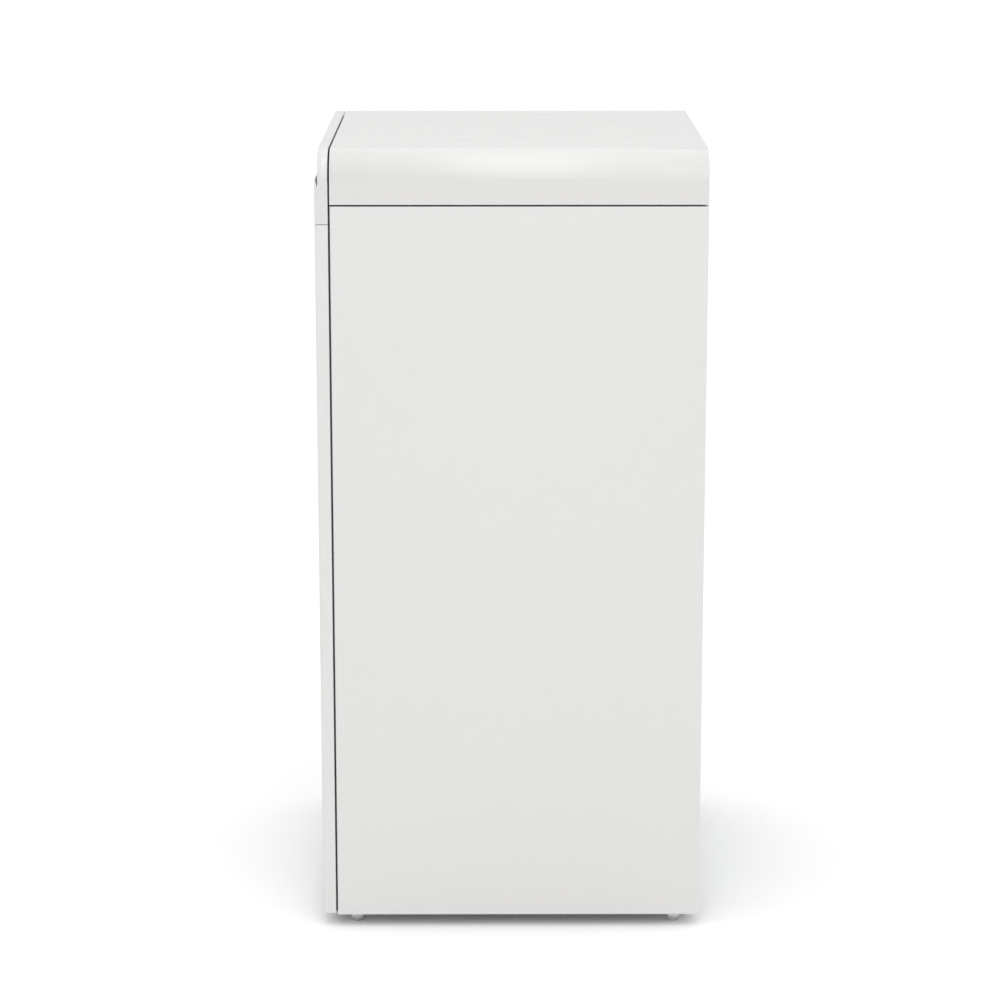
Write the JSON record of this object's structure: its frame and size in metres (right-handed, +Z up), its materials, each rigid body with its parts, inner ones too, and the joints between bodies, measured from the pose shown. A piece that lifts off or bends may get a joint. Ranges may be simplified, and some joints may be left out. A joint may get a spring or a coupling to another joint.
{
  "type": "trash compactor",
  "caption": "Freestanding white trash compactor: full-height drawer front with a grip lip, lift-out bin, and a motor-driven screw ram inside a rounded-top cabinet.",
  "frame": {"origin": "on the floor, under the middle of the machine", "axes": "+Z up, the front faces -Y, +X to the right of someone who faces the front"},
  "size_m": [0.457, 0.418, 0.865],
  "materials": {
    "white_enamel": "satin baked enamel",
    "white_plastic": "gloss moulded plastic",
    "grey_plastic": "fine-textured moulded plastic",
    "black_plastic": "matt moulded plastic",
    "galvanised_steel": "galvanised sheet",
    "zinc_steel": "bright zinc plate",
    "machined_steel": "oiled machined steel",
    "ram_enamel": "dark baked enamel",
    "bronze": "turned bronze",
    "motor_enamel": "black stove enamel",
    "capacitor_can": "drawn aluminium",
    "seal_rubber": "matt rubber",
    "lens": "clear green moulding",
    "circuit_board": "solder mask"
  },
  "bodies": {
    "cabinet": {"side_panel_left": "white_enamel", "side_panel_right": "white_enamel", "top_cover": "white_plastic", "fan_housing": "grey_plastic", "control_box": "grey_plastic", "filter_cartridge": "grey_plastic", "power_inlet": "black_plastic", "contact_socket": "black_plastic", "drawer_switch": "black_plastic", "side_frame_left": "galvanised_steel", "side_frame_right": "galvanised_steel", "back_panel": "galvanised_steel", "base_pan": "galvanised_steel", "drive_deck": "galvanised_steel", "screw_bracket_left": "galvanised_steel", "screw_bracket_right": "galvanised_steel", "slide_outer_left": "zinc_steel", "slide_outer_right": "zinc_steel", "back_screws": "zinc_steel", "motor_bolts": "zinc_steel", "drive_chain": "machined_steel", "gear_axle": "machined_steel", "screw_bearings": "bronze", "motor_housing": "motor_enamel", "capacitor": "capacitor_can"},
    "drawer": {"fascia": "white_plastic", "front_panel": "white_enamel", "front_liner": "galvanised_steel", "front_seal": "seal_rubber", "control_bezel": "grey_plastic", "indicator_lens": "lens", "circuit_board": "circuit_board", "drawer_tray": "galvanised_steel", "front_bolts": "zinc_steel", "waste_bin": "grey_plastic", "slide_inner_left": "zinc_steel", "slide_inner_right": "zinc_steel"},
    "slide_middles": {"slide_middle_left": "zinc_steel", "slide_middle_right": "zinc_steel"},
    "start_key": {"start_button": "grey_plastic"},
    "stop_key": {"stop_button": "grey_plastic"},
    "dial": {"lock_dial": "grey_plastic"},
    "ram": {"ram_box": "ram_enamel", "ram_beam": "ram_enamel", "ram_nut_left": "bronze", "ram_nut_right": "bronze"},
    "screw_left": {"power_screw_left": "machined_steel", "screw_sprocket_left": "machined_steel"},
    "screw_right": {"power_screw_right": "machined_steel", "screw_sprocket_right": "machined_steel"},
    "gear": {"drive_gear": "machined_steel", "drive_sprocket": "machined_steel"},
    "rotor": {"motor_rotor": "machined_steel"},
    "fan": {"fan_rotor": "grey_plastic"},
    "foot_front_left": {"foot_front_left": "zinc_steel"},
    "foot_front_right": {"foot_front_right": "zinc_steel"},
    "foot_rear_left": {"foot_rear_left": "zinc_steel"},
    "foot_rear_right": {"foot_rear_right": "zinc_steel"}
  },
  "joints": [
    {"name": "motor_spin", "type": "hinge", "parent": "cabinet", "child": "rotor", "pos_m": [0, 0.138, 0.73], "axis": [0, 0, 1], "range_deg": [-90720, 0], "deforming": ["drive_chain"]},
    {"name": "gear_spin", "type": "hinge", "parent": "cabinet", "child": "gear", "pos_m": [0, 0.075, 0.82], "axis": [0, 0, 1], "range_deg": [-1, 15121]},
    {"name": "screw_left_spin", "type": "hinge", "parent": "cabinet", "child": "screw_left", "pos_m": [-0.195, -0.047, 0.6], "axis": [0, 0, 1], "range_deg": [-1, 10081]},
    {"name": "screw_right_spin", "type": "hinge", "parent": "cabinet", "child": "screw_right", "pos_m": [0.195, -0.047, 0.6], "axis": [0, 0, 1], "range_deg": [-1, 10081]},
    {"name": "ram_slide", "type": "slide", "parent": "cabinet", "child": "ram", "axis": [0, 0, 1], "range_m": [-0.2805, 0.0005]},
    {"name": "drawer_slide", "type": "slide", "parent": "cabinet", "child": "drawer", "axis": [0, -1, 0], "range_m": [0, 0.34]},
    {"name": "slide_middle_travel", "type": "slide", "parent": "cabinet", "child": "slide_middles", "axis": [0, -1, 0], "range_m": [-0.001, 0.171]},
    {"name": "start_press", "type": "slide", "parent": "drawer", "child": "start_key", "axis": [0, 1, 0], "range_m": [0, 0.0012], "stiffness_N_per_m": 400},
    {"name": "stop_press", "type": "slide", "parent": "drawer", "child": "stop_key", "axis": [0, 1, 0], "range_m": [0, 0.0012], "stiffness_N_per_m": 400},
    {"name": "dial_turn", "type": "hinge", "parent": "drawer", "child": "dial", "pos_m": [0.08, -0.205, 0.806], "axis": [0, 1, 0], "range_deg": [0, 90]},
    {"name": "fan_spin", "type": "hinge", "parent": "cabinet", "child": "fan", "pos_m": [0, 0.19, 0.61], "axis": [0, 1, 0], "continuous": true},
    {"name": "foot_front_left_turn", "type": "hinge", "parent": "cabinet", "child": "foot_front_left", "pos_m": [-0.2035, -0.172, 0.02], "axis": [0, 0, 1], "continuous": true},
    {"name": "foot_front_right_turn", "type": "hinge", "parent": "cabinet", "child": "foot_front_right", "pos_m": [0.2035, -0.172, 0.02], "axis": [0, 0, 1], "continuous": true},
    {"name": "foot_rear_left_turn", "type": "hinge", "parent": "cabinet", "child": "foot_rear_left", "pos_m": [-0.2035, 0.182, 0.02], "axis": [0, 0, 1], "continuous": true},
    {"name": "foot_rear_right_turn", "type": "hinge", "parent": "cabinet", "child": "foot_rear_right", "pos_m": [0.2035, 0.182, 0.02], "axis": [0, 0, 1], "continuous": true}
  ],
  "couplings": [
    {"joint": "gear_spin", "follows": "motor_spin", "ratio": -0.16667},
    {"joint": "screw_left_spin", "follows": "motor_spin", "ratio": -0.11111},
    {"joint": "screw_right_spin", "follows": "motor_spin", "ratio": -0.11111},
    {"joint": "ram_slide", "follows": "motor_spin", "m_per_rad": 0.00017684},
    {"joint": "slide_middle_travel", "follows": "drawer_slide", "ratio": 0.5}
  ]
}
